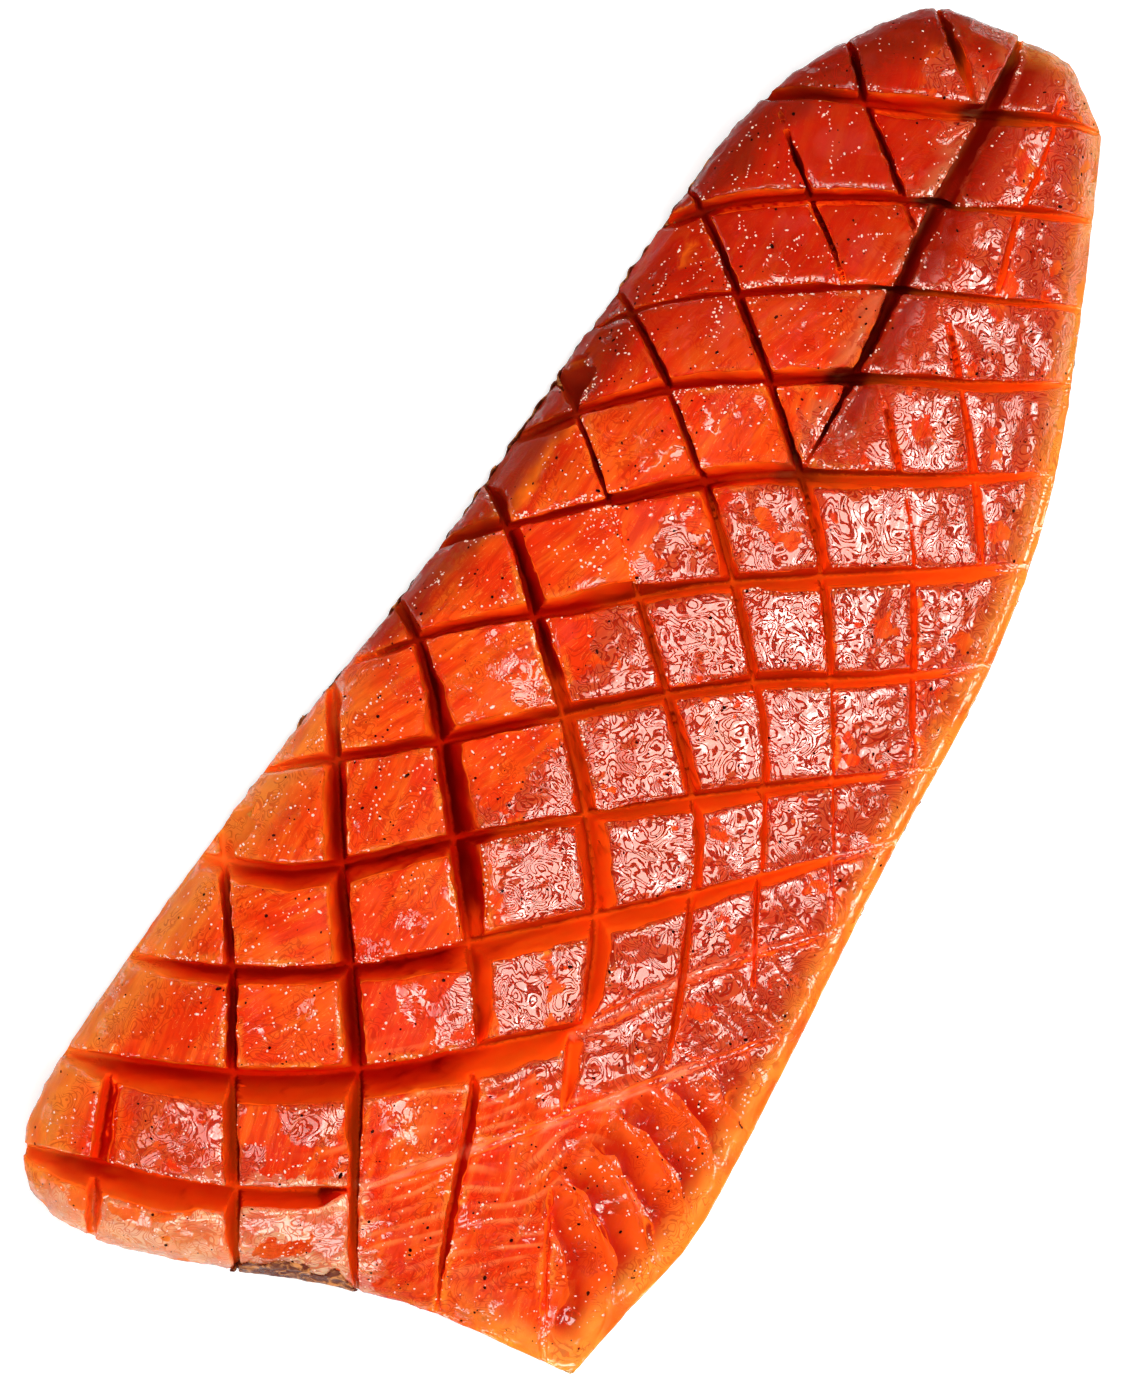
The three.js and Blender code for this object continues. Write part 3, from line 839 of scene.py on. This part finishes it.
relief = maths("ADD", scales_up, wrinkles_up)
bump = node("ShaderNodeBump", {"Strength": 1.0, "Distance": 0.6 * MM, "Height": relief})
links.new(bump.outputs["Normal"], shader.inputs["Normal"])
links.new(ramp(noise(120, 3), 0.3, 0.7, 0.22, 0.42), shader.inputs["Roughness"])
links.new(product(belly, rest_of(rim), 0.45), shader.inputs["Metallic"])
shader.inputs["IOR"].default_value = 1.2
wear(skin, skin_look)
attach(skin, "root")

# The oil beads and the pepper
# Oil and brine have dried out of the flesh in tiny pale beads, loose over the blocks, in rows along the grain
# and along the lips; their near-white colour is partly their own and partly a painted highlight that stands
# in for glints. Crushed black pepper is pressed into the face between them.
flesh.data.calc_loop_triangles()
corners = np.empty(len(flesh.data.loop_triangles) * 3, int)
flesh.data.loop_triangles.foreach_get("vertices", corners)
corners = corners.reshape(-1, 3)
flesh_places = places_of(flesh.data)
flesh_tree = BVHTree.FromPolygons([Vector(place) for place in flesh_places], corners.tolist())
corner_places = flesh_places[corners]
edges = corner_places[:, 1:] - corner_places[:, :1]
facing = np.cross(edges[:, 0], edges[:, 1])
area = np.linalg.norm(facing, axis=1) / 2
facing /= np.maximum(2 * area, 1e-12)[:, None]
middles = corner_places.mean(1)
low_by = under_top(read_map(crown + lift, middles) + seam_fold(middles)[0]) - middles[:, 2]
off_edge = step(2 * MM, 6 * MM, read_map(inland, middles))
on_face = step(2.4 * MM, 0.9 * MM, low_by) * step(0.3, 0.6, facing[:, 2])
on_face *= 0.15 + 0.85 * off_edge
bare_face = on_face * (1 - 0.75 * film_share(middles)[0])
near_lip = on_face * off_edge * step(1.6 * MM, 0.3 * MM, read_map(lipward, middles))


def scatter(how_many, weights, draw):
    """Random places on the flesh, more of them where the weight is high, each with what it faces."""
    chance = weights * area
    chosen = draw.choice(len(area), how_many, p=chance / chance.sum())
    a, b = np.sqrt(draw.uniform(0, 1, how_many)), draw.uniform(0, 1, how_many)
    shares = np.stack([1 - a, a * (1 - b), a * b], 1)
    return list(zip((corner_places[chosen] * shares[..., None]).sum(1), facing[chosen]))


def drawn_sizes(how_many, usual, spread, least, most, draw):
    """Radii in metres, around a usual one and between two bounds in millimetres."""
    return np.clip(draw.lognormal(math.log(usual), spread, how_many), least, most) * MM


def grains(name, spots, sizes, flatness, sunk, longest, draw):
    """One mesh with a small rounded grain at each spot, given as pairs of a place and what it faces."""
    shape = bmesh.new()
    bmesh.ops.create_icosphere(shape, subdivisions=1, radius=1.0)
    grain = bpy.data.meshes.new("grain")
    shape.to_mesh(grain)
    shape.clear()
    for (place, facing_to), size in zip(spots, sizes):
        turn = Vector(facing_to).to_track_quat("Z", "Y").to_matrix().to_4x4()
        spin = Matrix.Rotation(draw.uniform(0, 2 * math.pi), 4, "Z")
        long = size * (1 + (longest - 1) * draw.uniform(0, 1) ** 4)
        broad, tall = size * draw.uniform(0.75, 1.05), size * flatness
        stretch = Matrix.Diagonal((long, broad, tall, 1))
        set_here = Matrix.Translation(Vector(place) - Vector(facing_to) * tall * sunk) @ turn @ spin @ stretch
        grain.transform(set_here)
        shape.from_mesh(grain)
        grain.transform(set_here.inverted())
    bpy.data.meshes.remove(grain)
    mesh = made_mesh(shape, name)
    shade_smooth(mesh)
    return new_piece(name, mesh)


LOOSE_BEADS, LIP_BEADS, BEAD_ROWS = 1300, 1500, 290
ROW_GAPS = (0.7, 2.6)
ROW_FALL = 1.2 * MM
DOWN = Vector((0, 0, -1))
draw = np.random.default_rng(51)
spots = scatter(LOOSE_BEADS, bare_face, draw) + scatter(LIP_BEADS, near_lip, draw)
for start, _ in scatter(BEAD_ROWS, bare_face, draw):
    heading = GRAIN_TURN + draw.normal(0, 0.35)
    above = Vector((start[0], start[1], 0.1))
    for _ in range(draw.integers(2, 9)):
        heading += draw.normal(0, 0.3)
        gap = draw.uniform(*ROW_GAPS) * MM
        above += Vector((math.cos(heading), math.sin(heading), 0)) * gap
        place, facing_to, _, _ = flesh_tree.ray_cast(above, DOWN)
        if place is None or place.z < start[2] - ROW_FALL or facing_to.z < 0.5:
            break
        spots.append((place, facing_to))
sizes = drawn_sizes(len(spots), usual=0.25, spread=0.32, least=0.14, most=0.5, draw=draw)
beads = grains("oil_beads", spots, sizes, flatness=0.6, sunk=0.25, longest=2.0, draw=draw)
bead_and_glint_look, nodes, links, shader = new_look("oil_beads")
# Painted highlight: the beads are near white, partly their own pale colour and partly standing in for glints.
shader.inputs["Base Color"].default_value = colour(255, 214, 190)
shader.inputs["Roughness"].default_value = 0.12
shader.inputs["IOR"].default_value = 1.5
wear(beads, bead_and_glint_look)
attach(beads, "root")

PEPPER_GRAINS = 760
PEPPER_BLACK = colour(24, 8, 5)
PEPPER_BROWN = colour(58, 20, 10)
draw = np.random.default_rng(52)
spots = scatter(PEPPER_GRAINS, on_face, draw)
sizes = drawn_sizes(len(spots), usual=0.3, spread=0.35, least=0.16, most=0.65, draw=draw)
pepper = grains("pepper", spots, sizes, flatness=0.7, sunk=0.1, longest=1.8, draw=draw)
pepper_look, nodes, links, shader = new_look("pepper")
spot = node("ShaderNodeTexCoord").outputs["Object"]
links.new(mixed(ramp(noise(900, 2), 0.4, 0.6), PEPPER_BLACK, PEPPER_BROWN), shader.inputs["Base Color"])
shader.inputs["Roughness"].default_value = 0.9
shader.inputs["Specular IOR Level"].default_value = 0.0
wear(pepper, pepper_look)
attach(pepper, "root")

# The floor, the light and the camera
# A plain pale table top in a pale room, lit by wide soft boxes and seen from high above the wide end.
FLOOR_REACH = 4.0
FLOOR_PALE = (0.86, 0.86, 0.86, 1)
FLOOR_SEEN = 0.4
shape = bmesh.new()
bmesh.ops.create_grid(shape, x_segments=1, y_segments=1, size=FLOOR_REACH)
floor = new_piece("floor", made_mesh(shape, "floor"))
floor_look, nodes, links, shader = new_look("pale_table")
shader.inputs["Base Color"].default_value = FLOOR_PALE
shader.inputs["Roughness"].default_value = 0.7
shader.inputs["Emission Color"].default_value = (1, 1, 1, 1)
seen = node("ShaderNodeLightPath").outputs["Is Camera Ray"]
links.new(product(seen, FLOOR_SEEN), shader.inputs["Emission Strength"])
wear(floor, floor_look)

# The room lights the side faintly, less so from above, and only the camera sees it bright.
ROOM_SEEN = 16.0
room = bpy.data.worlds.new("room")
bpy.context.scene.world = room
room.use_nodes = True
nodes, links = room.node_tree.nodes, room.node_tree.links
from_where = node("ShaderNodeTexCoord").outputs["Generated"]
how_high = node("ShaderNodeSeparateXYZ", [from_where]).outputs["Z"]
dim_above = ramp(how_high, 0.15, 0.6, 0.5, 0.04)
seen = node("ShaderNodeLightPath").outputs["Is Camera Ray"]
strength = node("ShaderNodeMix", [seen, None, dim_above, ROOM_SEEN]).outputs[0]
links.new(strength, nodes["Background"].inputs["Strength"])

middle = on_board(0, 0, 20)


def soft_box(name, stands, glow, lights=True, mirrored=False, tint=(1.0, 1.0, 1.0)):
    """A box that glows, in watts per square metre and steradian, and that lights the flesh, is mirrored
    in its film, or both. It stands at a place and has a width and a depth in metres."""
    place, width, depth = stands
    data = bpy.data.lights.new(name, "AREA")
    data.shape = "RECTANGLE"
    data.size, data.size_y = width, depth
    data.energy = glow * math.pi * width * depth
    data.color = tint
    lamp = bpy.data.objects.new(name, data)
    bpy.context.scene.collection.objects.link(lamp)
    lamp.matrix_world = place
    lamp.visible_glossy = mirrored
    lamp.visible_diffuse = lights


def facing_middle(u, v, height):
    place = on_board(u, v, height)
    return Matrix.Translation(place) @ (middle - place).to_track_quat("-Z", "Y").to_matrix().to_4x4()


def facing_down(u, v, height, turn=0.0):
    turned = Matrix.Rotation(BOARD_TURN + math.radians(turn), 4, "Z")
    return Matrix.Translation(on_board(u, v, height)) @ turned


soft_box("key", (facing_down(725, -125, 900, -10.5), 1.35, 0.64), 4.3)
soft_box("key_gleam", (facing_down(790, -150, 905, -10.5), 1.55, 0.85), 6.7, lights=False, mirrored=True,
         tint=(1.0, 0.97, 0.89))
soft_box("left_fill", (facing_middle(-900, -100, 500), 0.9, 0.6), 2.0)
soft_box("overhead", (facing_middle(-60, 0, 900), 1.7, 1.7), 0.56)
soft_box("away", (facing_middle(-150, 1000, 800), 0.7, 0.5), 3.5)
soft_box("near", (facing_middle(-100, -900, 500), 0.9, 0.5), 2.2)
soft_box("bright_gleam", (facing_down(810, -100, 890, 15), 0.5, 0.3), 8, lights=False, mirrored=True)
soft_box("near_gleam", (facing_middle(-150, -900, 480), 1.1, 0.4), 6, lights=False, mirrored=True)
soft_box("over_gleam", (facing_down(-150, -190, 895), 0.5, 0.4), 3, lights=False, mirrored=True)
soft_box("away_gleam", (facing_middle(-150, 1000, 800), 0.7, 0.5), 2.5, lights=False, mirrored=True)

# The camera's frame is as tall as the photograph, at so many millimetres of flesh a pixel.
PHOTO_TALL, PIXEL = 1388, 0.285
FRAME_TALL = PHOTO_TALL * PIXEL * MM
SENSOR_TALL = 36
CAMERA_STANDS = (-33, -67, 920)
camera_data = bpy.data.cameras.new("camera")
camera = bpy.data.objects.new("camera", camera_data)
bpy.context.scene.collection.objects.link(camera)
eye = on_board(*CAMERA_STANDS)
view = (middle - eye).normalized()
away_on_page = on_board(0, 1) - on_board(0, 0)
right = view.cross(away_on_page).normalized()
up = right.cross(view)
camera.matrix_world = Matrix.Translation(eye) @ Matrix((right, up, -view)).transposed().to_4x4()
camera_data.sensor_fit = "VERTICAL"
camera_data.sensor_height = SENSOR_TALL
camera_data.lens = SENSOR_TALL * (middle - eye).length / FRAME_TALL
bpy.context.scene.camera = camera
bpy.context.scene.view_settings.view_transform = "Standard"
